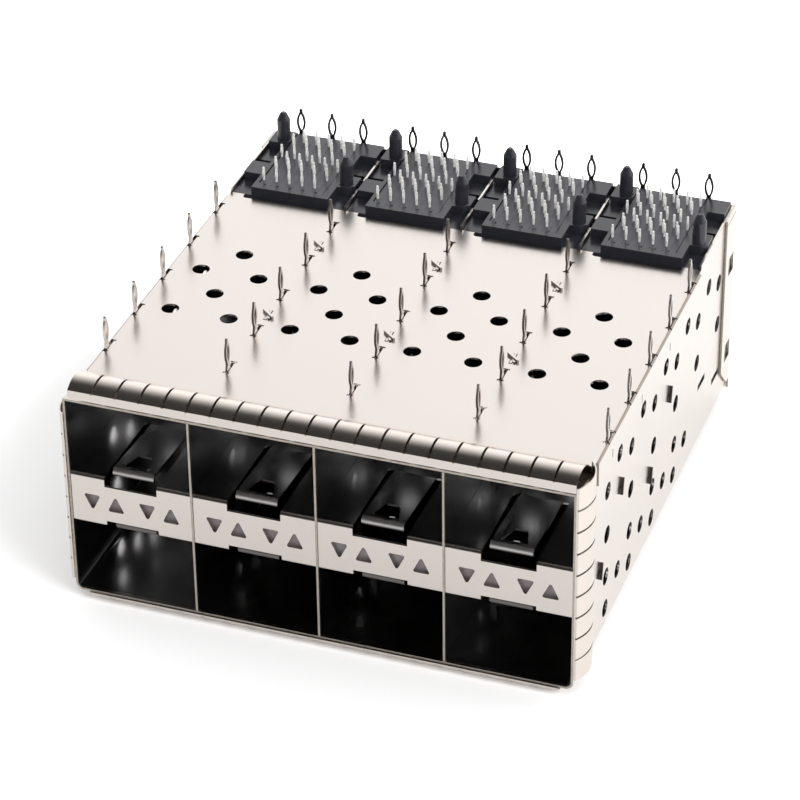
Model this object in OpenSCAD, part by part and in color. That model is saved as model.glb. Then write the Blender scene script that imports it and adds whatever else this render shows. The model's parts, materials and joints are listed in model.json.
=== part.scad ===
// SFP cage, two rows of ports by four columns, with its press-fit connectors.
// It lies on its cover, so the board side with its pins is up.
// X runs across the ports, Y from the port face to the rear, Z up to the board.
// Each piece is drawn with Y = 0 at the port edge of the sheets and Z = 0 at the
// board face, and in_place() sets it in the frame of the surface it lies on.

/* [Cage] */
// Distance between neighbouring port columns
port_pitch = 14.25; // [14.1:0.05:15.5]
// Thickness of the cage sheet
sheet = 0.25; // [0.2:0.01:0.3]
// Height from the outer face of the cover to the board face
cage_height = 24.52; // [24.2:0.01:27]
// Depth from the port edge to the inner face of the rear cover
cage_depth = 62.5; // [62:0.1:68]
// Height of the walls above the board face, behind the base plate
wall_rise = 0.55; // [0.3:0.05:0.8]
// Outer radius of the folds between the cover and the side walls
fold_radius = 0.9; // [0.5:0.05:1.5]
// Depth of the flanges that the base plate folds down outside the walls
flange_drop = 2.9; // [2.6:0.05:3.3]
// Height by which the front edge of the base plate is bent up
front_lift = 0.45; // [0.2:0.05:0.5]
// Clearance between pieces that fit together
fit = 0.03; // [0.02:0.005:0.05]

/* [Rear cover] */
// Depth of the rear cover's side flanges
rear_flange = 4.15; // [3.6:0.05:6]
// Height of the locking windows in the side flanges
window_height = 2.3; // [1.8:0.05:3]
// Distance between the pins of the rear cover
rear_pin_pitch = 3.98; // [3.5:0.02:4.3]

/* [Ports] */
// Clear height of an upper port, on the board side
port_height = 8.73; // [8.5:0.01:9.2]
// Height of the spacer between an upper and a lower port
spacer_height = 6.42; // [5.6:0.02:7]
// Distance the spacer face is set back from the port edge
spacer_setback = 0.1; // [0.05:0.05:0.4]
// Width of the latch tongue
latch_width = 4.75; // [4:0.05:5.5]
// Distance from the spacer face to the root of the latch tongue
latch_length = 11.4; // [9:0.1:14]
// Width of the slots beside the latch tongue
latch_gap = 0.68; // [0.4:0.02:0.9]
// Height by which the latch lip stands into the port
latch_lift = 0.75; // [0.4:0.05:1.2]
// Width of a triangular light opening
mark_width = 1.77; // [1.2:0.01:2.2]
// Height of a triangular light opening
mark_height = 1.83; // [1.2:0.01:2.4]
// Distance of the outer light openings from the middle of the column
mark_outer = 4.6; // [4.2:0.05:5.2]
// Distance of the inner light openings from the middle of the column
mark_inner = 1.84; // [1.4:0.02:2.4]

/* [Press-fit pins] */
// Height of the cage pins above the board face
pin_height = 4; // [3.2:0.05:5]
// Width of a pin across its eye
pin_eye = 1.1; // [0.9:0.02:1.3]
// Width of the hole in the eye
pin_hole = 0.62; // [0.5:0.02:0.8]
// Distance between the pins along a wall
pin_pitch = 7.97; // [7:0.01:8.3]
// Distance from the port edge to the first pin
pin_first = 11.5; // [10:0.1:13]

/* [Vents] */
// Diameter of the vent holes
vent_d = 2; // [1.4:0.05:2.4]
// Distance between the vent holes along the cage
vent_pitch = 9; // [8.5:0.05:9.4]

/* [Spring fingers] */
// Thickness of the spring strips
spring_sheet = 0.15; // [0.1:0.01:0.2]
// Distance between the spring fingers
finger_pitch = 2.7; // [2.4:0.01:2.72]
// Width of the slits between the fingers
finger_slit = 0.26; // [0.12:0.01:0.4]
// Height of the side and cover fingers over the sheet
finger_rise = 1.18; // [0.8:0.02:1.6]
// Height of the board-side fingers over the board face
board_rise = 2.42; // [1.9:0.02:3]
// Height of the front band of the board-side strip
band_height = 1.6; // [1.3:0.05:1.7]

/* [Connector] */
// Depth of a connector behind the base plate
connector_depth = 14.2; // [13.8:0.05:15]
// Width of the raised connector block
block_width = 9.58; // [9.2:0.02:10.5]
// Height of the raised block above the board face
block_rise = 1.1; // [0.8:0.05:1.6]
// Diameter of the guide pegs
peg_d = 1.6; // [1.2:0.05:1.65]
// Height of the guide pegs above the board face
peg_height = 4.8; // [4:0.05:6]
// Width of a port nose
nose_width = 11.2; // [10.4:0.1:12]
// Height of a port nose
nose_height = 5; // [4.2:0.1:6]
// Distance a port nose reaches forward of the connector
nose_reach = 4.6; // [3:0.1:6]
// Width of the card slot in a port nose
card_width = 9.6; // [9.2:0.1:10]
// Height of the card slot
card_height = 2; // [1.9:0.05:2.4]
// Distance between neighbouring terminal wafers
wafer_pitch = 0.8; // [0.78:0.005:0.84]
// Height of the terminal tails above the board face
tail_height = 2.7; // [2.3:0.05:3.4]
// Thickness of a terminal
terminal_sheet = 0.2; // [0.12:0.01:0.22]
// Width of a terminal inside its wafer
terminal_width = 0.5; // [0.3:0.02:0.7]

/* [Hidden] */

$fn = 48;
over = 0.5;              // how far a cutter runs past what it cuts
columns = 4;

shell_color = [0.90, 0.88, 0.86];
spring_color = [0.78, 0.75, 0.72];
light_color = [0.50, 0.46, 0.46];
housing_color = [0.24, 0.24, 0.27];
wafer_color = [0.29, 0.29, 0.32];
terminal_color = [0.83, 0.84, 0.84];

// Main faces of the cage
wall_mid = columns / 2 * port_pitch;
wall_out = wall_mid + sheet / 2;
wall_in = wall_mid - sheet / 2;
flange_out = wall_out + fit + sheet;
cover_in = -cage_height + sheet;
wall_top = -sheet - fit;
rear_out = cage_depth + sheet;
front_out = -spring_sheet - fit;
lift = cage_height + finger_rise;
middle_y = (front_out + rear_out) / 2;
column_clear = port_pitch - sheet;
housing_rear = cage_depth - 0.25;
housing_front = housing_rear - connector_depth;
plate_depth = housing_front - 0.05;

// Spacers and ports
spacer_top = -sheet - port_height;
spacer_bottom = spacer_top - spacer_height;
spacer_back = plate_depth - 0.6;
spacer_half = column_clear / 2 - fit;
spacer_bend = 0.45;
upper_port_mid = (-sheet + spacer_top) / 2;
lower_port_mid = (spacer_bottom + cover_in) / 2;
face_notch = latch_width + 2 * latch_gap;
upper_notch = 1.17;
lower_notch = 0.8;
lip_front = spacer_setback + 0.9;
lip_drop = 0.3;
latch_window = [2.9, 1.5, 2.6];    // front width, rear width, length
light_bar_size = [2 * mark_outer + mark_width + 1.2, 0.9, mark_height + 0.8];
light_bar_foot = 0.3;              // depth of the two feet that stand on the face
mark_drop = 4.29;        // from the top of the spacer to the foot of the light openings
mark_base = spacer_top - mark_drop;

// Press-fit pins
pins_per_wall = 5;
pin_foot = 0.75;         // height of the foot of the eye
pin_nib = 0.36;          // width of the rounded tip
pin_root = 0.84;         // width of a pin where it leaves its wall
pin_neck = 0.54;         // width under the eye
slot_front = 0.58;       // reach of a pin's slot, forward of its middle
slot_back = 1.7;         // and behind it
notch_depth = 0.8;       // notch of the wall below a pin's slot
rear_pin_step = 0.2;     // by which the rear pins stand higher
relief_length = 0.74;    // cross slots at the ends of a pin slot
relief_width = 0.28;
rear_pin_shift = 0.13;

// Staked and twisted tabs that hold the sheets together
tab_width = 2;
stake_pins = [1.5, 3.5];           // pin pitches behind the first pin
stake_rise = 0.32;
stake_angle = 50;
cover_tabs = [15, 34];
divider_gap = [housing_front + 4.3, 2.1, 0.6];     // place, length and depth of its gap
divider_back = housing_rear - 2.75;    // rear end of its raised part
upper_tabs = [16.6, 35.7];         // places along the right side of a spacer
lower_tabs = [9.2, 28.3];
tab_step = 5;                      // the left side's tabs sit this much further back
side_tab_reach = 0.35;
side_tab_angle = 80;

// Vent holes of a column: distance from its left wall, first hole, number of holes
plate_vents = [[3.38, 21.35, 2], [6.88, 25.85, 2], [10.39, 21.35, 2]];
// Vent rows of a wall: depth below the board face, first hole, number of holes
wall_vents = [[4.5, 16, 5], [6.55, 11.6, 6], [12.2, 11.7, 6],
              [17.65, 11.6, 4], [19.75, 16.1, 4], [21.85, 11.6, 4]];

// Base plate: bent front edge and the bays in front of the connector blocks
front_flat = 0.55;
front_ramp = 0.5;
front_tab = front_flat - 0.05;     // depth of the wall tabs below the front edge
bay_depth = 0.8;
bay_margin = 0.46;
bay_shift = 0.2;

// Flanges, slits and small slots of the side walls
flange_front = 7;
flange_back = plate_depth - 0.8;
flange_radius = sheet + 0.05;
snap_y = [12.1, 23.2, 34.3];
snap_drop = 2.05;
snap_radius = 0.45;
rear_slots = [[50.2, 16.3], [56.6, 19.4]];
rear_slot_size = [3, 0.8];

// Rear cover
rear_foot = 1.5;         // height of the flanges' foot above the cover
rear_chamfer = 2.8;
window_depth = 2.1;
window_mid = 1.8;        // from the outer face of the rear cover
window_drops = [6.4, 18.3];
lance_size = 1.7;

// Spring strips
board_fingers = floor(2 * wall_out / finger_pitch);
board_end = finger_pitch - 0.3;        // width of the last finger at the right end
cover_fingers = 20;
left_fingers = 8;
right_fingers = 9;
tail_length = 0.8;
band_foot = 0.7;
arch_radius = 3.2;
arch_mid = 1.9;
arch_end = 4.2;
board_tail = 5.8;
side_mid = 2.45;
side_chord = side_mid - front_out;
side_sag = finger_rise - fit - 2 * spring_sheet + 0.02;
side_radius = (side_chord * side_chord + side_sag * side_sag) / (2 * side_sag);
side_tail = side_mid + side_chord;
side_strip_foot = -23.03;
lip_depth = 0.22;        // front lip that joins the side and cover fingers

// Connector housing
housing_half = column_clear / 2 - 0.075;
housing_foot = cover_in + 0.15;
block_left = -block_width / 2 + 0.16;
block_right = block_width / 2 + 0.16;
slab_front = housing_rear - 3.05;
tab_front = housing_front + 3.2;
tab_back = tab_front + 2.85;
tab_chamfer = 0.7;
well_length = 2.3;
well_depth = 2;
rear_peg = [-5.13, housing_rear - 2.12];
front_peg = [5.83, housing_front + 4.08];
peg_tip = 0.85;
peg_cone = 0.95;
peg_ring = 0.08;         // chamfer round the foot of a peg

// Terminal wafers: ten side by side, of two kinds in turn
wafers = 10;
wafer_thick = wafer_pitch - 0.02;
pocket_gap = 0.1;        // beside and in front of the wafers
stack_mid = -0.07;
wafer_fronts = [housing_front + 1.35, housing_front + 1];
wafer_back = housing_rear - 0.05;
wafer_top = block_rise - 0.1;
wafer_foot = lower_port_mid - 2;
// Four tails of each kind: distance across from the wafer's middle plane and
// distance behind the front of the connector
wafer_tails = [
    [[-0.22, 2.25], [0.18, 5.15], [-0.22, 8.15], [0.18, 11.05]],
    [[-0.26, 4.35], [0.22, 6.65], [-0.26, 10.2], [0.22, 12.3]]
];
beam_gap = 0.78;         // from the middle of the card slot to a beam
beam_sheet = 0.22;
beam_front = housing_front - nose_reach + 0.9;
tail_width = 0.24;
tail_eye = 0.46;

function column_x(i) = (i - (columns + 1) / 2) * port_pitch;
function divider_x(i) = (i - columns / 2) * port_pitch;
function pin_y(j) = pin_first + j * pin_pitch;
function wafer_x(k) = stack_mid + (k - (wafers - 1) / 2) * wafer_pitch;
function port_mid(n) = n < 2 ? upper_port_mid : lower_port_mid;
function beam_z(n) = port_mid(n) + (n % 2 == 0 ? beam_gap : -beam_gap);

// Points of an arc around a centre
function arc(middle, r, from, to) =
    [for (s = [0 : 6]) let (a = from + (to - from) * s / 6) middle + r * [cos(a), sin(a)]];

// Points of a triangle that stands on the X axis, with round corners
function round_triangle(w, h, r) =
    let (lean = atan2(h - 2 * r, r - w / 2) - 90)
    concat(arc([w / 2 - r, r], r, -90, lean),
           arc([0, h - r], r, lean, 180 - lean),
           arc([r - w / 2, r], r, 180 - lean, 270));

// Sets a piece on the surface that the cage lies on
module in_place() {
    translate([0, -middle_y, lift]) children();
}

// Draws in the Y-Z plane and thickens along +X
module along_x(thickness) {
    rotate([90, 0, 90]) linear_extrude(thickness) children();
}

// Draws in the X-Z plane and thickens along +Y
module along_y(thickness) {
    translate([0, thickness, 0]) rotate([90, 0, 0]) linear_extrude(thickness) children();
}

// Outline of a sheet folded down at both sides, its flat top on the X axis
module folded_outline(half, drop, r) {
    translate([-half, -drop]) square([2 * half, drop - r]);
    translate([r - half, -r - over]) square([2 * (half - r), r + over]);
    for (side = [-1, 1])
        translate([side * (half - r), -r]) circle(r);
}

// The same sheet in section
module folded_section(half, drop, r) {
    difference() {
        folded_outline(half, drop, r);
        translate([0, -sheet]) folded_outline(half - sheet, drop, r - sheet);
    }
}

// Pointed oval bounded by two arcs
module oval(w, h) {
    r = (w * w + h * h) / (4 * w);
    intersection() {
        translate([r - w / 2, 0]) circle(r);
        translate([w / 2 - r, 0]) circle(r);
    }
}

// Upright bar with a round end at the top
module round_bar(w, h) {
    translate([-w / 2, 0]) square([w, h - w / 2]);
    translate([0, h - w / 2]) circle(w / 2);
}

// Eye-of-the-needle pin standing on the board face, its foot raised by some step
module press_pin(step) {
    foot = pin_foot + step;
    eye_height = pin_height - pin_foot - pin_nib;
    eye_mid = foot + eye_height / 2;
    difference() {
        union() {
            translate([0, eye_mid]) oval(pin_eye, eye_height + 0.3);
            // root that narrows to the neck
            polygon([[-pin_root / 2, wall_top - notch_depth - over], [-pin_root / 2, foot - 0.55],
                     [-pin_neck / 2, foot], [-pin_neck / 2, foot + 0.35],
                     [pin_neck / 2, foot + 0.35], [pin_neck / 2, foot],
                     [pin_root / 2, foot - 0.55], [pin_root / 2, wall_top - notch_depth - over]]);
            translate([0, eye_mid]) round_bar(pin_nib, pin_height + step - eye_mid);
        }
        translate([0, eye_mid]) oval(pin_hole, eye_height * 0.78);
    }
}

// Notches of a wall below the slots of its pins, in the Y-Z plane
module pin_notches() {
    for (j = [0 : pins_per_wall - 1])
        translate([pin_y(j) - slot_front, wall_top - notch_depth])
            square([slot_front + slot_back, notch_depth + over]);
}

// Row of pins on a sheet whose middle plane is at X = 0
module wall_pins() {
    for (j = [0 : pins_per_wall - 1])
        translate([-sheet / 2, pin_y(j), 0]) along_x(sheet) press_pin(0);
}

// Dog-bone slot of the base plate around the root of a pin
module pin_slot() {
    length = slot_front + slot_back;
    middle = (slot_back - slot_front) / 2;
    translate([0, middle, -sheet - over]) {
        translate([0, 0, sheet / 2 + over])
            cube([sheet + 4 * fit, length, sheet + 2 * over], center = true);
        for (end = [-1, 1])
            translate([-relief_length / 2, end * length / 2 - relief_width / 2, 0])
                cube([relief_length, relief_width, sheet + 2 * over]);
    }
}

// Vent holes of a flat sheet for all columns, through the plane Z = 0
module flat_vents() {
    for (i = [1 : columns], vent = plate_vents, row = [0 : vent[2] - 1])
        translate([column_x(i) - port_pitch / 2 + vent[0], vent[1] + row * vent_pitch, 0])
            cylinder(d = vent_d, h = 2 * over, center = true);
}

// Vent holes of an upright sheet, through the plane X = 0
module upright_vents() {
    for (row = wall_vents, k = [0 : row[2] - 1])
        translate([0, row[1] + k * vent_pitch, -row[0]])
            rotate([0, 90, 0]) cylinder(d = vent_d, h = 2 * over, center = true);
}

// Slots of an upright sheet for the spacer tabs, shifted back by some distance
module spacer_tab_slots(shift) {
    for (y = upper_tabs)
        translate([0, y + shift, spacer_top - sheet / 2])
            cube([2 * over, tab_width + 4 * fit, sheet + 4 * fit], center = true);
    for (y = lower_tabs)
        translate([0, y + shift, spacer_bottom + sheet / 2])
            cube([2 * over, tab_width + 4 * fit, sheet + 4 * fit], center = true);
}

// Half-round snap of a side wall, standing through a window of the flange
module snap(r) {
    rotate([0, 90, 0]) intersection() {
        cylinder(r = r, h = sheet + 2 * fit);
        translate([-r, 0, 0]) cube([2 * r, r, sheet + 2 * fit]);
    }
}

// Lance of a side wall that locks the rear cover, sloping out towards the front
module rear_lance() {
    translate([-sheet / 2, 0, -lance_size / 2]) linear_extrude(lance_size)
        polygon([[0, -lance_size / 2], [sheet + fit, -lance_size / 2],
                 [sheet / 2, lance_size / 2], [0, lance_size / 2]]);
}

// Cover and both side walls folded from one sheet, with the side pins
module main_shell() {
    color(shell_color) {
        difference() {
            translate([0, 0, -cage_height]) mirror([0, 0, 1])
                along_y(cage_depth - fit)
                    folded_section(wall_out, cage_height + wall_rise, fold_radius);
            // the base plate lies on the walls in front of the connectors
            translate([-wall_out - over, 0, 0])
                along_x(2 * (wall_out + over)) plate_room();
            translate([0, 0, -cage_height + sheet / 2]) flat_vents();
            for (i = [1 : columns - 1], y = cover_tabs)
                translate([divider_x(i), y, -cage_height])
                    cube([sheet + 4 * fit, tab_width + 4 * fit, 4 * sheet], center = true);
            for (side = [-1, 1]) translate([side * wall_mid, 0, 0]) {
                upright_vents();
                spacer_tab_slots(side > 0 ? 0 : tab_step);
                for (slot = rear_slots)
                    translate([0, slot[0], -slot[1]])
                        cube([2 * over, rear_slot_size[0], rear_slot_size[1]], center = true);
            }
        }
        for (side = [-1, 1]) {
            translate([side * wall_mid, 0, 0]) wall_pins();
            for (y = snap_y)
                translate([side * wall_out, y, -snap_drop])
                    mirror([side < 0 ? 1 : 0, 0, 0]) snap(snap_radius);
            for (drop = window_drops)
                translate([side * wall_out, rear_out - window_mid, -drop])
                    mirror([side < 0 ? 1 : 0, 0, 0]) rear_lance();
        }
    }
}

// Room above the walls for the base plate and its pin slots, in the Y-Z plane
module plate_room() {
    polygon([[-over, wall_top + front_lift], [front_tab, wall_top + front_lift],
             [front_tab, wall_top], [plate_depth + fit, wall_top],
             [plate_depth + fit, cage_height], [-over, cage_height]]);
    pin_notches();
}

// Bay in the rear edge of the base plate, in front of a connector block
module plate_bay() {
    r = bay_depth / 2;
    half = block_width / 2 + bay_margin;
    translate([r - half, -bay_depth]) square([2 * (half - r), bay_depth + over]);
    translate([-half, -r]) square([2 * half, r + over]);
    for (side = [-1, 1])
        translate([side * (half - r), -r]) circle(r);
}

// Section of the base plate in the Y-Z plane, its front edge bent up
module plate_section() {
    polygon([[0, front_lift - sheet], [0, front_lift], [front_flat, front_lift],
             [front_flat + front_ramp, 0], [plate_depth, 0], [plate_depth, -sheet],
             [front_flat + front_ramp, -sheet], [front_flat, front_lift - sheet]]);
}

// Board-side sheet with its pin slots, folded down outside the side walls
module base_plate() {
    color(shell_color) difference() {
        union() {
            translate([-wall_out, 0, 0]) along_x(2 * wall_out) plate_section();
            translate([0, flange_front, 0]) along_y(flange_back - flange_front)
                folded_section(flange_out, flange_drop, flange_radius);
        }
        flat_vents();
        for (wall = [0 : columns], j = [0 : pins_per_wall - 1])
            translate([divider_x(wall), pin_y(j), 0]) pin_slot();
        for (i = [1 : columns - 1], stake = stake_pins)
            translate([divider_x(i), pin_y(stake), 0])
                cube([sheet + 6 * fit, tab_width + 6 * fit, 4 * sheet], center = true);
        for (i = [1 : columns])
            translate([column_x(i) - bay_shift, plate_depth, -sheet - over])
                linear_extrude(sheet + 2 * over) plate_bay();
        for (side = [-1, 1], y = snap_y)
            translate([side * wall_out, y - 2 * fit, -snap_drop])
                mirror([side < 0 ? 1 : 0, 0, 0]) snap_window();
    }
}

// Window of a base plate flange for a snap
module snap_window() {
    r = snap_radius + 2 * fit;
    rotate([0, 90, 0]) intersection() {
        cylinder(r = r, h = sheet + over);
        translate([-r, 0, 0]) cube([2 * r, r + fit, sheet + over]);
    }
}

// Rear sheet with side flanges, lock windows and pins
module rear_cover() {
    top = wall_rise;
    foot = -cage_height + 0.1;
    color(shell_color) {
        difference() {
            translate([0, rear_out, foot]) linear_extrude(top - foot)
                folded_section(flange_out, rear_flange, flange_radius);
            for (side = [-1, 1]) translate([side * flange_out - over, 0, 0]) {
                along_x(2 * over) polygon([
                    [rear_out - rear_flange - over, -cage_height - over],
                    [rear_out - rear_flange - over, -cage_height + rear_foot + rear_chamfer],
                    [rear_out - rear_flange, -cage_height + rear_foot + rear_chamfer],
                    [rear_out - rear_flange + rear_chamfer, -cage_height + rear_foot],
                    [rear_out - flange_radius, -cage_height + rear_foot],
                    [rear_out - flange_radius, -cage_height - over]]);
                for (drop = window_drops)
                    translate([over, rear_out - window_mid, -drop])
                        cube([2 * over, window_depth, window_height], center = true);
            }
        }
        for (i = [1 : columns], k = [-1 : 1])
            translate([column_x(i) + rear_pin_shift + k * rear_pin_pitch, cage_depth, 0])
                along_y(sheet) press_pin(rear_pin_step);
    }
}

// Upright sheet between two columns, with its pins and stakes
module divider(i) {
    low = cover_in + fit;
    color(shell_color) translate([divider_x(i), 0, 0]) {
        difference() {
            translate([-sheet / 2, 0, 0]) along_x(sheet) difference() {
                union() {
                    translate([0, low]) square([cage_depth - fit, wall_top - low]);
                    translate([plate_depth + fit, low])
                        square([divider_back - plate_depth - fit, wall_rise - low]);
                    translate([0, low]) square([front_tab, wall_top + front_lift - low]);
                    for (y = cover_tabs)
                        translate([y - tab_width / 2, low - sheet]) square([tab_width, sheet + over]);
                }
                pin_notches();
                translate([divider_gap[0], -divider_gap[2]])
                    square([divider_gap[1], wall_rise + divider_gap[2] + over]);
            }
            upright_vents();
            spacer_tab_slots(0);
            spacer_tab_slots(tab_step);
        }
        wall_pins();
        for (stake = stake_pins) translate([0, pin_y(stake), 0]) twisted_stake();
    }
}

// Stake through the base plate, its end twisted to hold the plate
module twisted_stake() {
    translate([-sheet / 2, -tab_width / 2, -sheet - over])
        cube([sheet, tab_width, sheet + over + 0.05]);
    for (turn = [0.5, 1])
        rotate(turn * stake_angle) translate([-sheet / 2, -tab_width / 2, 0.02])
            cube([sheet, tab_width, stake_rise * turn]);
}

// Folded C sheet between an upper and a lower port, with both latch tongues
module port_spacer(i) {
    middle = (spacer_top + spacer_bottom) / 2;
    color(shell_color) translate([column_x(i), 0, 0]) {
        difference() {
            translate([-spacer_half, 0, 0]) along_x(2 * spacer_half) spacer_section();
            for (side = [-1, 1]) {
                depth = side > 0 ? upper_notch : lower_notch;
                edge = side > 0 ? spacer_top : spacer_bottom;
                // notch of the face
                translate([-face_notch / 2, 0, side > 0 ? edge - depth : edge - over])
                    cube([face_notch, spacer_bend + spacer_setback, depth + over]);
                // clearance around the tongue
                translate([-face_notch / 2, 0, edge - sheet - over + (side > 0 ? 0 : sheet)])
                    cube([face_notch, spacer_setback + latch_length, sheet + 2 * over]);
            }
            light_openings();
        }
        translate([-latch_width / 2, 0, 0]) latch_tongue(spacer_top);
        translate([-latch_width / 2, 0, 2 * middle]) mirror([0, 0, 1])
            latch_tongue(spacer_top);
        for (side = [-1, 1]) mirror([side < 0 ? 1 : 0, 0, 0])
            spacer_tabs(side > 0 ? 0 : tab_step, side * column_x(i) > (columns / 2 - 1) * port_pitch);
    }
}

// C section of a spacer in the Y-Z plane, open at the rear
module spacer_section() {
    depth = spacer_back - spacer_setback;
    translate([spacer_setback, (spacer_top + spacer_bottom) / 2]) rotate(90)
        folded_section(spacer_height / 2, depth, spacer_bend);
}

// Four triangular light openings through the face of a spacer
module light_openings() {
    for (side = [-1, 1], place = [mark_outer, mark_inner])
        translate([side * place, 0, 0]) along_y(spacer_setback + 2 * sheet) {
            // the outer left and the inner right openings point down
            if ((side < 0) == (place == mark_outer))
                translate([0, mark_base + mark_height]) mirror([0, 1])
                    polygon(round_triangle(mark_width, mark_height, 0.2));
            else
                translate([0, mark_base]) polygon(round_triangle(mark_width, mark_height, 0.2));
        }
}

// Translucent bar that closes the light openings of a spacer from behind
module light_bar(i) {
    front = spacer_setback + sheet + fit;
    low = mark_base - 0.4;
    color(light_color) translate([column_x(i), front, 0]) {
        translate([-light_bar_size[0] / 2, light_bar_foot, low]) cube(light_bar_size);
        // pads between the openings, and at both ends of the bar
        for (x = [-mark_outer - mark_width / 2 - 0.35, 0, mark_outer + mark_width / 2 + 0.35])
            translate([x - 0.25, 0, low]) cube([0.5, light_bar_foot + 0.1, light_bar_size[2]]);
    }
}

// Latch tongue of an upper port: it slopes up from its root to a rolled lip
module latch_tongue(top) {
    root = spacer_setback + latch_length;
    roll = (latch_lift + lip_drop) / 2;
    lip_y = lip_front + roll;
    lip_top = top + latch_lift;
    difference() {
        along_x(latch_width) {
            polygon([[root + sheet, top], [root + sheet, top - sheet], [root, top - sheet],
                     [lip_y, lip_top - sheet], [lip_y, lip_top], [root, top]]);
            translate([lip_y, lip_top - roll]) difference() {
                circle(roll);
                circle(roll - sheet);
                translate([0, -roll - over]) square(2 * (roll + over));
            }
        }
        translate([latch_width / 2, lip_y + 0.5, top - over])
            linear_extrude(latch_lift + 2 * over) polygon([
                [-latch_window[0] / 2, 0], [latch_window[0] / 2, 0],
                [latch_window[1] / 2, latch_window[2]],
                [-latch_window[1] / 2, latch_window[2]]]);
    }
}

// Tabs on the right side of a spacer; those through an outer wall are twisted
module spacer_tabs(shift, outer) {
    reach = column_clear / 2 + sheet - spacer_half + (outer ? fit : -fit);
    for (level = [0, 1], y = level == 0 ? upper_tabs : lower_tabs) {
        z = level == 0 ? spacer_top - sheet / 2 : spacer_bottom + sheet / 2;
        translate([spacer_half - over, y + shift - tab_width / 2, z - sheet / 2])
            cube([reach + over, tab_width, sheet]);
        if (outer) translate([spacer_half + reach - fit, y + shift, z])
            rotate([side_tab_angle, 0, 0]) translate([0, -tab_width / 2, -sheet / 2])
                cube([side_tab_reach, tab_width, sheet]);
    }
}

// Board-side spring strip before it is slit: front band, arch, slope and tail
module board_strip(length) {
    arch_z = board_rise - arch_radius;
    end_z = arch_z + sqrt(pow(arch_radius, 2) - pow(arch_end - arch_mid, 2));
    tail_z = fit + spring_sheet;
    along_x(length) translate([front_out, band_foot])
        square([spring_sheet, band_height + 0.1 - band_foot]);
    along_x(length) intersection() {
        translate([arch_mid, arch_z]) difference() {
            circle(arch_radius, $fn = 96);
            circle(arch_radius - spring_sheet, $fn = 96);
        }
        translate([front_out, 0.5]) square([arch_end - front_out, board_rise]);
    }
    along_x(length)
        polygon([[arch_end - 0.05, end_z], [arch_end, end_z], [board_tail, tail_z],
                 [board_tail + 0.1, tail_z], [board_tail + 0.1, fit], [board_tail, fit],
                 [arch_end, end_z - spring_sheet * 1.3],
                 [arch_end - 0.05, end_z - spring_sheet * 1.3]]);
    along_x(length) translate([board_tail, fit]) square([tail_length, spring_sheet]);
}

// Spring strip on the board side of the port face
module board_spring_strip() {
    length = (board_fingers - 1) * finger_pitch + board_end + 0.12;
    color(spring_color) difference() {
        translate([wall_out - length, 0, 0]) board_strip(length);
        for (k = [0 : board_fingers - 2])
            translate([wall_out - board_end - k * finger_pitch - finger_slit / 2, 0, 0])
                along_x(finger_slit) {
                    translate([-over, band_height]) square([board_tail, board_rise]);
                    translate([0.1, fit + spring_sheet]) square([board_tail - 0.2, board_rise]);
                }
    }
}

// Section of a side or cover strip: height over the sheet along X, distance back along Y
module side_strip_section() {
    translate([fit, front_out]) square([spring_sheet, lip_depth]);
    intersection() {
        translate([finger_rise - side_radius, side_mid]) rotate(180) difference() {
            circle(side_radius, $fn = 96);
            circle(side_radius - spring_sheet, $fn = 96);
        }
        translate([fit, front_out]) square([finger_rise, 2 * side_chord + 2]);
    }
    translate([fit, side_tail]) square([spring_sheet, tail_length]);
}

// Spring strip along Z from 0 up, bulging to +X from the plane X = 0
module finger_strip(fingers, pitch) {
    difference() {
        linear_extrude(fingers * pitch) side_strip_section();
        for (k = [1 : fingers - 1]) translate([0, 0, k * pitch - finger_slit / 2])
            linear_extrude(finger_slit) {
                translate([fit + spring_sheet, front_out - over])
                    square([finger_rise, side_tail - front_out + 2 * over]);
                translate([-over, front_out + lip_depth])
                    square([finger_rise, side_tail - front_out - lip_depth]);
            }
    }
}

// Spring strip of one side wall
module wall_spring_strip(side) {
    fingers = side > 0 ? right_fingers : left_fingers;
    pitch = finger_pitch + 0.01;
    color(spring_color) difference() {
        translate([side * wall_out, 0, side_strip_foot + (side > 0 ? 0 : fingers * pitch)])
            rotate([0, side > 0 ? 0 : 180, 0]) finger_strip(fingers, pitch);
        // the last finger is cut off at a slant
        translate([side * wall_out - finger_rise - over, 0, side_strip_foot])
            along_x(2 * (finger_rise + over))
                polygon([[1.6, -over], [side_tail + 2, -over], [side_tail + 2, 1.4]]);
    }
}

// Spring strip on the cover
module cover_spring_strip() {
    color(spring_color)
        translate([-cover_fingers * finger_pitch / 2, 0, -cage_height])
            rotate([0, 90, 0]) finger_strip(cover_fingers, finger_pitch);
}

// Guide peg with a cone tip, standing on the raised parts of a housing
module guide_peg(place) {
    cone_foot = peg_height - peg_cone;
    translate([place[0], place[1], 0]) {
        translate([0, 0, block_rise - 0.1]) cylinder(d = peg_d, h = cone_foot - block_rise + 0.1);
        translate([0, 0, block_rise])
            cylinder(d1 = peg_d + 2 * peg_ring, d2 = peg_d, h = peg_ring);
        translate([0, 0, cone_foot]) cylinder(d1 = peg_d, d2 = peg_tip, h = peg_cone - 0.15);
        translate([0, 0, peg_height - 0.15]) cylinder(d1 = peg_tip, d2 = peg_tip - 0.3, h = 0.15);
    }
}

// Raised parts of a housing seen from the board side
module raised_outline() {
    pad_half = housing_half - 0.15;
    translate([block_left, housing_front])
        square([block_right - block_left, slab_front - housing_front + over]);
    translate([-pad_half, slab_front])
        square([pad_half + housing_half, housing_rear - slab_front]);
    translate([-pad_half, tab_front])
        square([pad_half + block_left + over, tab_back - tab_front]);
    polygon([[block_right - over, tab_front], [housing_half - tab_chamfer, tab_front],
             [housing_half, tab_front + tab_chamfer], [housing_half, tab_back],
             [block_right - over, tab_back]]);
}

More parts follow.
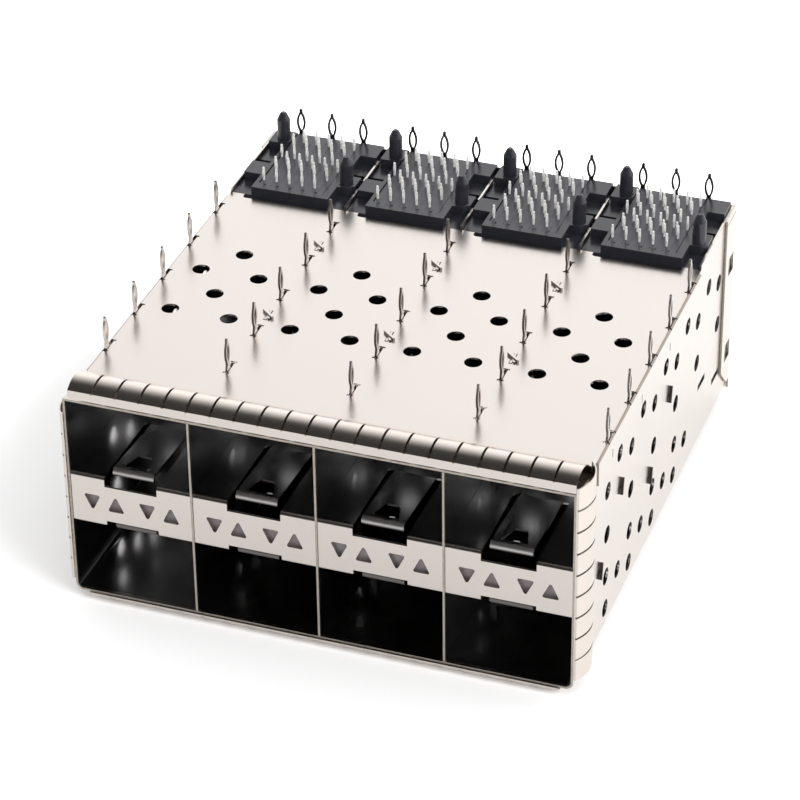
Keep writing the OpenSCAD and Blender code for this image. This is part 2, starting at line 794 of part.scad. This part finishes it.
// Section of a housing across the ports, clear of the folds beside the cover
module body_section() {
    clear = fold_radius - sheet;
    polygon([[-housing_half, 0], [housing_half, 0],
             [housing_half, housing_foot + clear], [housing_half - clear, housing_foot],
             [clear - housing_half, housing_foot], [-housing_half, housing_foot + clear]]);
}

// Moulded housing with a nose for each port, open at the rear for the wafers
module connector_housing(i) {
    color(housing_color) translate([column_x(i), 0, 0]) difference() {
        union() {
            translate([0, housing_front, 0])
                along_y(housing_rear - housing_front) body_section();
            translate([0, 0, -over]) linear_extrude(block_rise + over) raised_outline();
            for (mid = [upper_port_mid, lower_port_mid])
                translate([-nose_width / 2, housing_front - nose_reach, mid - nose_height / 2])
                    cube([nose_width, nose_reach + over, nose_height]);
            guide_peg(rear_peg);
            guide_peg(front_peg);
        }
        for (mid = [upper_port_mid, lower_port_mid])
            translate([-card_width / 2, housing_front - nose_reach - over, mid - card_height / 2])
                cube([card_width, nose_reach + over + 1.6, card_height]);
        for (k = [0 : wafers - 1]) {
            front = wafer_fronts[k % 2] - pocket_gap;
            translate([wafer_x(k) - wafer_pitch / 2 - pocket_gap, front, wafer_foot - fit])
                cube([wafer_pitch + 2 * pocket_gap, cage_depth - front, cage_height]);
        }
        // wells beside the block, behind the tabs
        for (side = [-1, 1])
            translate([side > 0 ? block_right : -housing_half - over, tab_back, -well_depth])
                cube([side > 0 ? housing_half : housing_half + over + block_left,
                      well_length, well_depth + over]);
    }
}

// Path of terminal n of a wafer in the Y-Z plane, wider by a clearance all round
module terminal_path(kind, n, gap) {
    y = housing_front + wafer_tails[kind][n][1];
    z = beam_z(n);
    half = terminal_width / 2 + gap;
    translate([y - half, z - half]) square([2 * half, wafer_top - 0.3 + gap - z + half]);
    translate([wafer_fronts[kind] + 0.3 - gap, z - half])
        square([y - wafer_fronts[kind] - 0.3 + half + gap, 2 * half]);
    translate([y - tail_width / 2 - gap, z]) square([tail_width + 2 * gap, wafer_top + over - z]);
    translate([wafer_fronts[kind] - over, z - beam_sheet / 2 - gap])
        square([over + 0.4, beam_sheet + 2 * gap]);
}

// Tail and contact beam of terminal n, outside its wafer
module terminal_ends(kind, n) {
    y = housing_front + wafer_tails[kind][n][1];
    z = beam_z(n);
    inward = n % 2 == 0 ? -1 : 1;
    eye_mid = (wafer_top + tail_height) / 2 + 0.05;
    translate([beam_front, z - beam_sheet / 2])
        square([wafer_fronts[kind] - beam_front, beam_sheet]);
    translate([beam_front + 0.5, z + inward * 0.1]) circle(0.22);
    difference() {
        union() {
            translate([y, 0]) round_bar(tail_width, tail_height);
            translate([y, eye_mid]) oval(tail_eye, 1.3);
        }
        translate([y, eye_mid]) oval(tail_eye - 0.24, 0.7);
    }
}

// Moulded wafer with open channels for its terminals
module wafer(kind) {
    difference() {
        translate([-wafer_thick / 2, wafer_fronts[kind], wafer_foot])
            cube([wafer_thick, wafer_back - wafer_fronts[kind], wafer_top - wafer_foot]);
        for (n = [0 : 3]) {
            place = wafer_tails[kind][n][0];
            depth = wafer_thick / 2 - abs(place) + terminal_sheet / 2 + fit;
            translate([place < 0 ? -wafer_thick / 2 - over : wafer_thick / 2 - depth, 0, 0])
                along_x(depth + over) terminal_path(kind, n, fit);
        }
    }
}

// Ten wafers of one connector
module terminal_wafers(i) {
    color(wafer_color) translate([column_x(i), 0, 0])
        for (k = [0 : wafers - 1]) translate([wafer_x(k), 0, 0]) wafer(k % 2);
}

// Twenty terminals of one port: numbers first and first + 1 of each wafer
module port_terminals(i, first) {
    color(terminal_color) translate([column_x(i), 0, 0])
        for (k = [0 : wafers - 1], n = [first, first + 1])
            translate([wafer_x(k) + wafer_tails[k % 2][n][0] - terminal_sheet / 2, 0, 0])
                along_x(terminal_sheet) {
                    intersection() {
                        terminal_path(k % 2, n, 0);
                        translate([wafer_fronts[k % 2] - 0.1, wafer_foot])
                            square([cage_depth, wafer_top - wafer_foot]);
                    }
                    terminal_ends(k % 2, n);
                }
}

in_place() main_shell();
in_place() base_plate();
in_place() rear_cover();
in_place() divider(1);  // divider_1
in_place() divider(2);  // divider_2
in_place() divider(3);  // divider_3
in_place() port_spacer(1);  // port_spacer_1
in_place() port_spacer(2);  // port_spacer_2
in_place() port_spacer(3);  // port_spacer_3
in_place() port_spacer(4);  // port_spacer_4
in_place() light_bar(1);  // light_bar_1
in_place() light_bar(2);  // light_bar_2
in_place() light_bar(3);  // light_bar_3
in_place() light_bar(4);  // light_bar_4
in_place() board_spring_strip();
in_place() cover_spring_strip();
in_place() wall_spring_strip(-1);  // left_spring_strip
in_place() wall_spring_strip(1);  // right_spring_strip
in_place() connector_housing(1);  // connector_housing_1
in_place() connector_housing(2);  // connector_housing_2
in_place() connector_housing(3);  // connector_housing_3
in_place() connector_housing(4);  // connector_housing_4
in_place() terminal_wafers(1);  // terminal_wafers_1
in_place() terminal_wafers(2);  // terminal_wafers_2
in_place() terminal_wafers(3);  // terminal_wafers_3
in_place() terminal_wafers(4);  // terminal_wafers_4
in_place() port_terminals(1, 0);  // upper_port_terminals_1
in_place() port_terminals(2, 0);  // upper_port_terminals_2
in_place() port_terminals(3, 0);  // upper_port_terminals_3
in_place() port_terminals(4, 0);  // upper_port_terminals_4
in_place() port_terminals(1, 2);  // lower_port_terminals_1
in_place() port_terminals(2, 2);  // lower_port_terminals_2
in_place() port_terminals(3, 2);  // lower_port_terminals_3
in_place() port_terminals(4, 2);  // lower_port_terminals_4
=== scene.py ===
"""The looks of the stacked SFP cage: its finishes, light, floor and camera."""
import json
import math

import bpy
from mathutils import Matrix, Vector


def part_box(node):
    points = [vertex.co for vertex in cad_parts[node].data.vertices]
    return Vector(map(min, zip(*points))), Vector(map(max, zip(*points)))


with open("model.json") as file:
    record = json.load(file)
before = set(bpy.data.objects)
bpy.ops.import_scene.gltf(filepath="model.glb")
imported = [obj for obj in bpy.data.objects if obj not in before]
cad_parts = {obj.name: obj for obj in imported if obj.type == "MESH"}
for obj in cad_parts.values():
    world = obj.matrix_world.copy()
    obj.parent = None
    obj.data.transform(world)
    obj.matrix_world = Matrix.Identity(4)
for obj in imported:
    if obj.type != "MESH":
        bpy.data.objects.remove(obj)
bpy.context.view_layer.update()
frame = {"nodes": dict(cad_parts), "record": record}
scene = bpy.context.scene
scene.view_settings.view_transform = "Standard"

# ---------------------------------------------------------------- camera

CAMERA_PLACE = (0.10855, -0.30419, 0.22157)
CAMERA_TURN = (57.10, 0.635, 19.511)     # degrees about X, Y, Z
CAMERA_LENS = 152.5                      # mm
CAMERA_SENSOR = 36                       # mm
CAMERA_CLIP = (0.01, 20)                 # nearest and farthest, m


def make_camera():
    data = bpy.data.cameras.new("camera")
    data.lens = CAMERA_LENS
    data.sensor_width = CAMERA_SENSOR
    data.clip_start, data.clip_end = CAMERA_CLIP
    camera = bpy.data.objects.new("camera", data)
    camera.location = CAMERA_PLACE
    camera.rotation_euler = [math.radians(a) for a in CAMERA_TURN]
    scene.collection.objects.link(camera)
    scene.camera = camera


# ---------------------------------------------------------------- shader helpers

NOISE_ROUGHNESS = 0.55


def add(tree, kind, inputs=None, **settings):
    """Adds a shader node. Inputs are values, or sockets to link from."""
    made = tree.nodes.new("ShaderNode" + kind)
    for name, value in settings.items():
        setattr(made, name, value)
    for name, value in (inputs or {}).items():
        if isinstance(value, bpy.types.NodeSocket):
            tree.links.new(value, made.inputs[name])
        else:
            made.inputs[name].default_value = value
    return made


def math_node(tree, operation, first, second=0.0, third=0.0):
    made = add(tree, "Math", {0: first, 1: second, 2: third}, operation=operation)
    return made.outputs[0]


def less(tree, value, limit):
    """1 where value is below limit, otherwise 0."""
    return math_node(tree, "LESS_THAN", value, limit)


def more(tree, value, limit):
    """1 where value is above limit, otherwise 0."""
    return math_node(tree, "GREATER_THAN", value, limit)


def either(tree, first, second):
    """The larger of two masks."""
    return math_node(tree, "MAXIMUM", first, second)


def all_of(tree, *masks):
    """The product of the masks: 1 where every one of them is 1."""
    result = masks[0]
    for mask in masks[1:]:
        result = math_node(tree, "MULTIPLY", result, mask)
    return result


def within(tree, value, low, high):
    """1 where value lies between low and high, otherwise 0."""
    return all_of(tree, more(tree, value, low), less(tree, value, high))


def ramp(tree, value, low, high, to_low, to_high):
    """Maps one range smoothly to another, held at both ends."""
    made = add(tree, "MapRange",
               {"Value": value, "From Min": low, "From Max": high,
                "To Min": to_low, "To Max": to_high},
               interpolation_type="SMOOTHSTEP")
    return made.outputs["Result"]


def varied(tree, cloud, span, level, shares):
    """A level that a noise, over a span of its values, moves between two shares of it."""
    return ramp(tree, cloud, *span, level * shares[0], level * shares[1])


def mix_number(tree, factor, first, second):
    made = add(tree, "Mix", {"Factor": factor, "A": first, "B": second},
               data_type="FLOAT")
    return made.outputs[0]


def mix_color(tree, factor, first, second, blend_type="MIX"):
    """Mixes two colours. Each is a socket or an RGB tuple."""
    colors = [c if isinstance(c, bpy.types.NodeSocket) else (*c, 1)
              for c in (first, second)]
    made = add(tree, "MixRGB", {"Fac": factor, "Color1": colors[0], "Color2": colors[1]},
               blend_type=blend_type)
    return made.outputs[0]


def clouded(tree, cloud, color, darkest, lightest=1.0):
    """A colour that a noise moves between two shares of itself."""
    return mix_color(tree, cloud, [c * darkest for c in color],
                     [c * lightest for c in color])


def noise(tree, place, size, detail, stretch=(1, 1, 1)):
    """Noise whose blobs are about size metres across, stretched along the axes."""
    scaled = add(tree, "Mapping", {"Vector": place,
                                   "Scale": [1 / (size * s) for s in stretch]})
    made = add(tree, "TexNoise", {"Vector": scaled.outputs[0], "Scale": 1.0,
                                  "Detail": detail, "Roughness": NOISE_ROUGHNESS})
    return made.outputs["Fac"]


def surface_facing(tree):
    """The X, Y and Z of the surface normal."""
    normal = add(tree, "TexCoord").outputs["Normal"]
    return add(tree, "SeparateXYZ", {"Vector": normal}).outputs


def new_material(name):
    material = bpy.data.materials.new(name)
    material.use_nodes = True
    tree = material.node_tree
    tree.nodes.clear()
    place = add(tree, "TexCoord").outputs["Object"]
    shader = add(tree, "BsdfPrincipled")
    output = add(tree, "OutputMaterial")
    tree.links.new(shader.outputs[0], output.inputs["Surface"])
    return material, tree, place, shader


def link_looks(tree, shader, color, rough=None):
    """Links a colour and, where it varies, a roughness to the shader."""
    tree.links.new(color, shader.inputs["Base Color"])
    if rough is not None:
        tree.links.new(rough, shader.inputs["Roughness"])


def bump(tree, shader, height, distance):
    made = add(tree, "Bump", {"Height": height, "Distance": distance, "Strength": 1.0})
    tree.links.new(made.outputs[0], shader.inputs["Normal"])


# ---------------------------------------------------------------- places on the cage, m

HAIR = 0.000003                                      # keeps a face on a limit inside it
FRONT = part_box("main_shell")[0][1]                   # port edge of the sheets
BOARD_FACE = 0.0257                                  # top of the base plate
WALL_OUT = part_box("board_spring_strip")[1][0] + HAIR         # outer face of a side wall
FLANGE_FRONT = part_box("rear_cover")[0][1]            # front of the rear cover's flanges
HOUSING_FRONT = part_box("connector_housing_1")[0][1]
SPACER_MIDDLE = sum(corner[2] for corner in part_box("port_spacer_1")) / 2    # height

PORT_EDGE_DEPTH = 0.00005                            # behind FRONT
FACE_DEPTH = (0.00006, 0.0008)                       # spacer faces, behind FRONT
LIP_DEPTH = (0.0009, 0.0023)                         # rolled latch lips, behind FRONT
INNER_DEPTH = 0.0005                                 # insides begin, behind FRONT
INNER_FLOOR = 0.0013                                 # insides begin, above the floor
INNER_GAP = 0.0002                                   # insides end, under plate and wall
RAISED_EDGE = (0.0005, 0.0006)                       # sheet tops that stand over the plate
PIN_FOOT = 0.0006                                    # pins begin, above the plate
FOLD_BAND = (-0.0002, 0.0001)                        # fold of the plate, about its top
REAR_PIN_ROW = 0.027                                 # Y behind which the rear pins stand
TAB_DEPTH = 0.002                                    # side tabs begin, behind FRONT
TAB_REAR_GAP = 0.0005                                # they end, before FLANGE_FRONT
TAB_FLOOR = 0.001                                    # and begin, above the floor
TAB_TOP_GAP = 0.004                                  # and end, under the plate

# Limits of the surface normal
FORWARD = -0.7                                       # Y below it: faces the front
LIP_FORWARD = -0.05
BAND_FORWARD = -0.9
UPWARD = 0.7                                         # Z above it: faces up
LIP_DOWNWARD = (0.1, -0.7)                           # Z from level to facing down

# ---------------------------------------------------------------- finishes

CAGE_COLOR = (0.72, 0.668, 0.628)
CUT_COLOR = (0.41, 0.37, 0.325)
SPRING_COLOR = (0.72, 0.655, 0.60)
# painted shade: the insides of the ports are made darker than the sheet
INNER_SHADE = (0.50, 0.495, 0.50)
# painted shade: the rolled latch lips are made darker than the sheet around them
LIP_SHADE = (0.50, 0.485, 0.475)
# painted shade: lip faces turned downward, and the lips of the lower ports, darker still
LIP_UNDER_SHADE = (0.16, 0.15, 0.145)
# painted shade: the twisted side tabs are made near black, for the shade of their slots
TAB_SHADE = (0.06, 0.048, 0.044)
# painted shade: the pins of the rear row are made darker than the front ones
REAR_PIN_SHADE = (0.14, 0.135, 0.135)
# painted shade along the fold of the plate, partly also the brown of a cut edge
FOLD_SHADE = (0.33, 0.28, 0.245)
# painted shade: faces turned to the front, on spacers and spring strips, darker than the
# sheet
FACE_SHADE = (0.555, 0.513, 0.478)

SHEET_ROUGHNESS = 0.25
INNER_ROUGHNESS = 0.20
LIP_ROUGHNESS = 0.5
PIN_ROUGHNESS = 0.45
CUT_ROUGHNESS = 0.5

GRAIN_SIZE = 0.00012                                 # rolling grain, across it, m
GRAIN_STRETCH = (1, 30, 1)                           # drawn out along Y
GRAIN_SHARE = 0.12                                   # of the grain in the bump
SMUDGE_SIZE = 0.009                                  # handling marks, m
SMUDGE_TINT = {"span": (0.35, 0.7), "shares": (0.97, 1.0)}
SMUDGE_SHEEN = {"span": (0.3, 0.75), "shares": (0.9, 1.08)}
SHORN_SIZE = 0.0003                                  # marks on the cut edges, m
SHORN_TINT = {"span": (0.3, 0.7), "shares": (0.85, 1.1)}
PEEL_SIZE = 0.0035                                   # orange peel, m
RESIN_SHEEN = {"span": (0.3, 0.7), "shares": (0.85, 1.15)}
RESIN_GRAIN_HEIGHT = 0.06                            # of the size of the grain
TIN_SHEEN = {"span": (0.3, 0.7), "shares": (0.8, 1.3)}


def sheet_zones(tree, place):
    """Masks of the places where the cage sheet looks different, by name."""
    spot = add(tree, "SeparateXYZ", {"Vector": place}).outputs
    facing = surface_facing(tree)
    beside = math_node(tree, "ABSOLUTE", spot["X"])
    deep, height = spot["Y"], spot["Z"]

    def band(value, base, limits):
        return within(tree, value, base + limits[0], base + limits[1])

    forward = less(tree, facing["Y"], FORWARD)
    outside = more(tree, beside, WALL_OUT)
    port_edge = less(tree, deep, FRONT + PORT_EDGE_DEPTH)
    front_cut = all_of(tree, forward, either(tree, port_edge, outside))
    top_cut = all_of(tree, more(tree, facing["Z"], UPWARD),
                     band(height, BOARD_FACE, RAISED_EDGE),
                     less(tree, deep, HOUSING_FRONT))
    pins = more(tree, height, BOARD_FACE + PIN_FOOT)
    lips = all_of(tree, band(deep, FRONT, LIP_DEPTH),
                  less(tree, facing["Y"], LIP_FORWARD))
    # painted shade on the lips deepens as their faces turn downward
    downward = ramp(tree, facing["Z"], *LIP_DOWNWARD, 0.0, 1.0)
    lower_port = less(tree, height, SPACER_MIDDLE)
    return {
        "cuts": either(tree, front_cut, top_cut),
        "pins": pins,
        "rear_pins": all_of(tree, pins, more(tree, deep, REAR_PIN_ROW)),
        "insides": all_of(tree, within(tree, height, INNER_FLOOR, BOARD_FACE - INNER_GAP),
                          less(tree, beside, WALL_OUT - INNER_GAP),
                          within(tree, deep, FRONT + INNER_DEPTH, -FRONT)),
        "lips": lips,
        "lip_undersides": all_of(tree, lips, either(tree, downward, lower_port)),
        "tabs": all_of(tree, outside,
                       within(tree, deep, FRONT + TAB_DEPTH, FLANGE_FRONT - TAB_REAR_GAP),
                       within(tree, height, TAB_FLOOR, BOARD_FACE - TAB_TOP_GAP)),
        "fold": all_of(tree, outside, band(height, BOARD_FACE, FOLD_BAND)),
        "faces": all_of(tree, forward, less(tree, beside, WALL_OUT),
                        band(deep, FRONT, FACE_DEPTH)),
    }


def cage_zones(tree, place, shade, rough):
    """Gives cut edges their own tone, the other zones painted shade, and each its
    roughness.
    """
    zones = sheet_zones(tree, place)
    shorn = noise(tree, place, SHORN_SIZE, detail=3.0)
    cut = mix_color(tree, 1.0, CUT_COLOR, varied(tree, shorn, level=1.0, **SHORN_TINT),
                    "MULTIPLY")
    shade = mix_color(tree, zones["cuts"], shade, cut)
    # painted shade on insides, latch lips and undersides, side tabs, rear pins, fold and
    # front faces
    for zone, tone in (("insides", INNER_SHADE), ("lips", LIP_SHADE), ("tabs", TAB_SHADE),
                       ("rear_pins", REAR_PIN_SHADE), ("lip_undersides", LIP_UNDER_SHADE),
                       ("fold", FOLD_SHADE), ("faces", FACE_SHADE)):
        shade = mix_color(tree, zones[zone], shade, tone)
    for zone, level in (("insides", INNER_ROUGHNESS), ("lips", LIP_ROUGHNESS),
                        ("pins", PIN_ROUGHNESS), ("cuts", CUT_ROUGHNESS)):
        rough = mix_number(tree, zones[zone], rough, level)
    return shade, rough


def spring_front_shade(tree, place, shade, rough):
    """Paints the spring strips' flat fronts with the spacer faces' painted shade."""
    forward = less(tree, surface_facing(tree)["Y"], BAND_FORWARD)
    return mix_color(tree, forward, shade, FACE_SHADE), rough


def plated_sheet(name, color, waviness, zones):
    """Plated sheet: rolling grain along Y, faint handling marks, soft orange peel.

    zones takes the sheet's colour and roughness, and gives back those of the part.
    """
    material, tree, place, shader = new_material(name)
    shader.inputs["Metallic"].default_value = 1.0
    grain = noise(tree, place, GRAIN_SIZE, detail=2.0, stretch=GRAIN_STRETCH)
    smudge = noise(tree, place, SMUDGE_SIZE, detail=4.0)
    shade = mix_color(tree, 1.0, color, varied(tree, smudge, level=1.0, **SMUDGE_TINT),
                      "MULTIPLY")
    rough = varied(tree, smudge, level=SHEET_ROUGHNESS, **SMUDGE_SHEEN)
    link_looks(tree, shader, *zones(tree, place, shade, rough))
    peel = noise(tree, place, PEEL_SIZE, detail=2.0)
    height = math_node(tree, "MULTIPLY_ADD", grain, GRAIN_SHARE, peel)
    bump(tree, shader, height, waviness)
    return material


def moulded_plastic(name, color, roughness, grain_size):
    """Glass-filled black resin with a fine moulded grain."""
    material, tree, place, shader = new_material(name)
    cloud = noise(tree, place, 0.0012, detail=4.0)
    link_looks(tree, shader, clouded(tree, cloud, color, darkest=0.8, lightest=1.25),
               varied(tree, cloud, level=roughness, **RESIN_SHEEN))
    bump(tree, shader, noise(tree, place, grain_size, detail=3.0),
         grain_size * RESIN_GRAIN_HEIGHT)
    return material


def tin_plate(name, color, roughness):
    """Bright tin on the terminals, a little uneven and partly matt."""
    material, tree, place, shader = new_material(name)
    shader.inputs["Metallic"].default_value = 0.25
    cloud = noise(tree, place, 0.0004, detail=2.0)
    link_looks(tree, shader, clouded(tree, cloud, color, darkest=0.9),
               varied(tree, cloud, level=roughness, **TIN_SHEEN))
    return material


def smoky_resin(name, color):
    """Smoky resin of the light bars: a soft glow of its own depth, a smooth skin."""
    material, tree, place, shader = new_material(name)
    shader.inputs["Subsurface Weight"].default_value = 0.4
    shader.inputs["Subsurface Scale"].default_value = 0.0008
    shader.inputs["Roughness"].default_value = 0.35
    cloud = noise(tree, place, 0.0015, detail=3.0)
    link_looks(tree, shader, clouded(tree, cloud, color, darkest=0.85))
    return material


def dress_nodes():
    """Gives each node of the frame the finish of its slot."""
    finishes = {
        "cage_sheet": plated_sheet("cage_sheet", CAGE_COLOR, waviness=0.000003,
                                   zones=cage_zones),
        "spring_sheet": plated_sheet("spring_sheet", SPRING_COLOR, waviness=0.000002,
                                     zones=spring_front_shade),
        "light_bar": smoky_resin("light_bar", (0.26, 0.225, 0.23)),
        "housing": moulded_plastic("housing", (0.022, 0.0225, 0.029), roughness=0.23,
                                   grain_size=0.00012),
        "wafer": moulded_plastic("wafer", (0.042, 0.042, 0.054), roughness=0.34,
                                 grain_size=0.00015),
        "terminal": tin_plate("terminal", (0.93, 0.92, 0.90), roughness=0.40),
    }
    slots = {part["node"]: part["material_slot"] for part in frame["record"]["subparts"]}
    for name, obj in frame["nodes"].items():
        obj.data.materials.clear()
        obj.data.materials.append(finishes[slots[name]])


# ---------------------------------------------------------------- light and floor

DARK_SIDE = Vector((-0.20, -0.60, 0.77)).normalized()    # unlit ceiling in front
DARK_ANGLES = (49, 101)                  # degrees from DARK_SIDE: dark ends, white begins
DOME_MIRRORED = (0.045, 1.475)           # what mirrors see of the dark and of the white
DOME_DIFFUSE = 1.0                       # what matt surfaces see
DOME_SEEN = 1.0                          # what the camera sees
LAMP_SIZE = 0.5                          # m across
FLOOR_HALF = 3.0                         # m
FLOOR_DIFFUSE = 0.8
FLOOR_MIRRORED = 1.0
FLOOR_SEEN = (1.0, 2.2)                  # near the cage and farther off
FLOOR_SHADE_SWEEP = (0.046, 0.075)             # m from the middle, where it passes to white


def make_world():
    """Studio that is white at the rear and falls off to an unlit ceiling in front."""
    world = bpy.data.worlds.new("studio")
    scene.world = world
    world.use_nodes = True
    tree = world.node_tree
    tree.nodes.clear()
    direction = add(tree, "TexCoord").outputs["Generated"]
    facing = add(tree, "VectorMath", {0: direction, 1: DARK_SIDE},
                 operation="DOT_PRODUCT")
    angle = math_node(tree, "ARCCOSINE", facing.outputs["Value"])
    glow = ramp(tree, angle, *[math.radians(a) for a in DARK_ANGLES], *DOME_MIRRORED)
    path = add(tree, "LightPath").outputs
    level = mix_number(tree, path["Is Diffuse Ray"], glow, DOME_DIFFUSE)
    level = mix_number(tree, path["Is Camera Ray"], level, DOME_SEEN)
    light = add(tree, "Background", {"Color": (1, 1, 1, 1), "Strength": level})
    output = add(tree, "OutputWorld")
    tree.links.new(light.outputs[0], output.inputs["Surface"])


def make_lamp(name, place, power, mirrored=True):
    """A round lamp, in watts, that points at the middle of the floor."""
    data = bpy.data.lights.new(name, "AREA")
    data.shape = "DISK"
    data.size = LAMP_SIZE
    data.energy = power
    lamp = bpy.data.objects.new(name, data)
    lamp.location = place
    lamp.rotation_euler = (-Vector(place)).to_track_quat("-Z", "Y").to_euler()
    lamp.visible_glossy = mirrored
    scene.collection.objects.link(lamp)


def make_floor():
    """Pale floor, white away from the cage, painted dimmer near it; it keeps its shadows.
    """
    mesh = bpy.data.meshes.new("floor")
    corners = ((-1, -1), (1, -1), (1, 1), (-1, 1))
    mesh.from_pydata([(x * FLOOR_HALF, y * FLOOR_HALF, 0) for x, y in corners],
                     [], [(0, 1, 2, 3)])
    floor = bpy.data.objects.new("floor", mesh)
    scene.collection.objects.link(floor)
    material = bpy.data.materials.new("floor")
    material.use_nodes = True
    tree = material.node_tree
    tree.nodes.clear()
    path = add(tree, "LightPath").outputs
    mirrored = either(tree, path["Is Glossy Ray"], path["Is Transmission Ray"])
    level = mix_number(tree, mirrored, FLOOR_DIFFUSE, FLOOR_MIRRORED)
    place = add(tree, "TexCoord").outputs["Object"]
    away = add(tree, "VectorMath", {0: place}, operation="LENGTH").outputs["Value"]
    # painted shade: the camera sees the floor dimmer near the cage, deepening its shadow
    # there
    shade_sweep = ramp(tree, away, *FLOOR_SHADE_SWEEP, *FLOOR_SEEN)
    level = mix_number(tree, path["Is Camera Ray"], level, shade_sweep)
    color = add(tree, "CombineColor", {"Red": level, "Green": level, "Blue": level})
    shader = add(tree, "BsdfDiffuse", {"Color": color.outputs[0]})
    output = add(tree, "OutputMaterial")
    tree.links.new(shader.outputs[0], output.inputs["Surface"])
    mesh.materials.append(material)


make_camera()
dress_nodes()
make_world()
make_floor()
make_lamp("key", (0.45, 0.40, 0.85), power=0.5)
make_lamp("fill", (0.66, -0.32, 0.45), power=4.5, mirrored=False)
